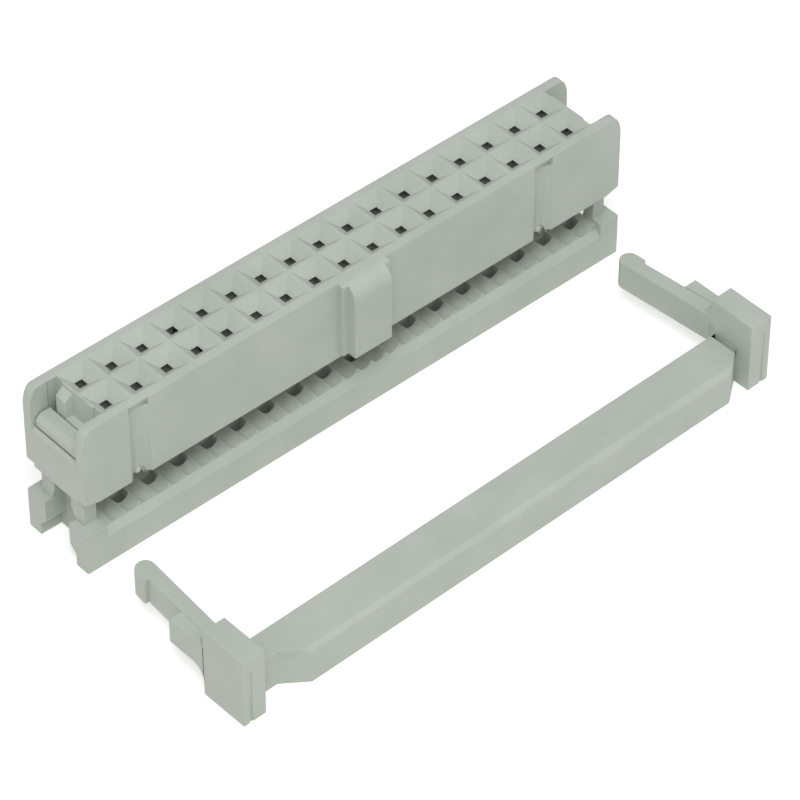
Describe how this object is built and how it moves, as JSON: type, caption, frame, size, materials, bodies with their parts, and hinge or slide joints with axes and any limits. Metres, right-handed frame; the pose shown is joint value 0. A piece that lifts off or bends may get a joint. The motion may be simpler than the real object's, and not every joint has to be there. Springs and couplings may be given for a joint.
{
  "type": "idc ribbon cable socket with strain relief",
  "caption": "Two-row insulation displacement socket for flat ribbon cable, open for its cable, with latching cover and a separate strain relief clip.",
  "frame": {"origin": "centre of the cover's underside, on the surface that the socket stands on", "axes": "+Z towards the mating face, +X along the socket, -Y on the side of the polarising key"},
  "size_m": [0.0489, 0.0232, 0.0127],
  "materials": {
    "housing": "moulded glass-filled polyester, pebble grey, fine matt",
    "cover": "moulded glass-filled polyester, pebble grey, fine matt",
    "strain_relief": "moulded glass-filled polyester, pebble grey, fine matt",
    "contacts": "stamped copper alloy, tin plated"
  },
  "bodies": {
    "cover": {"cover": "cover", "strain_relief": "strain_relief"},
    "socket": {"housing": "housing", "contact_a01": "contacts", "contact_a02": "contacts", "contact_a03": "contacts", "contact_a04": "contacts", "contact_a05": "contacts", "contact_a06": "contacts", "contact_a07": "contacts", "contact_a08": "contacts", "contact_a09": "contacts", "contact_a10": "contacts", "contact_a11": "contacts", "contact_a12": "contacts", "contact_a13": "contacts", "contact_a14": "contacts", "contact_a15": "contacts", "contact_a16": "contacts", "contact_a17": "contacts", "contact_b01": "contacts", "contact_b02": "contacts", "contact_b03": "contacts", "contact_b04": "contacts", "contact_b05": "contacts", "contact_b06": "contacts", "contact_b07": "contacts", "contact_b08": "contacts", "contact_b09": "contacts", "contact_b10": "contacts", "contact_b11": "contacts", "contact_b12": "contacts", "contact_b13": "contacts", "contact_b14": "contacts", "contact_b15": "contacts", "contact_b16": "contacts", "contact_b17": "contacts"}
  },
  "joints": [
    {"name": "press_to_close", "type": "slide", "parent": "cover", "child": "socket", "axis": [0, 0, -1], "range_m": [0, 0.0021]}
  ]
}
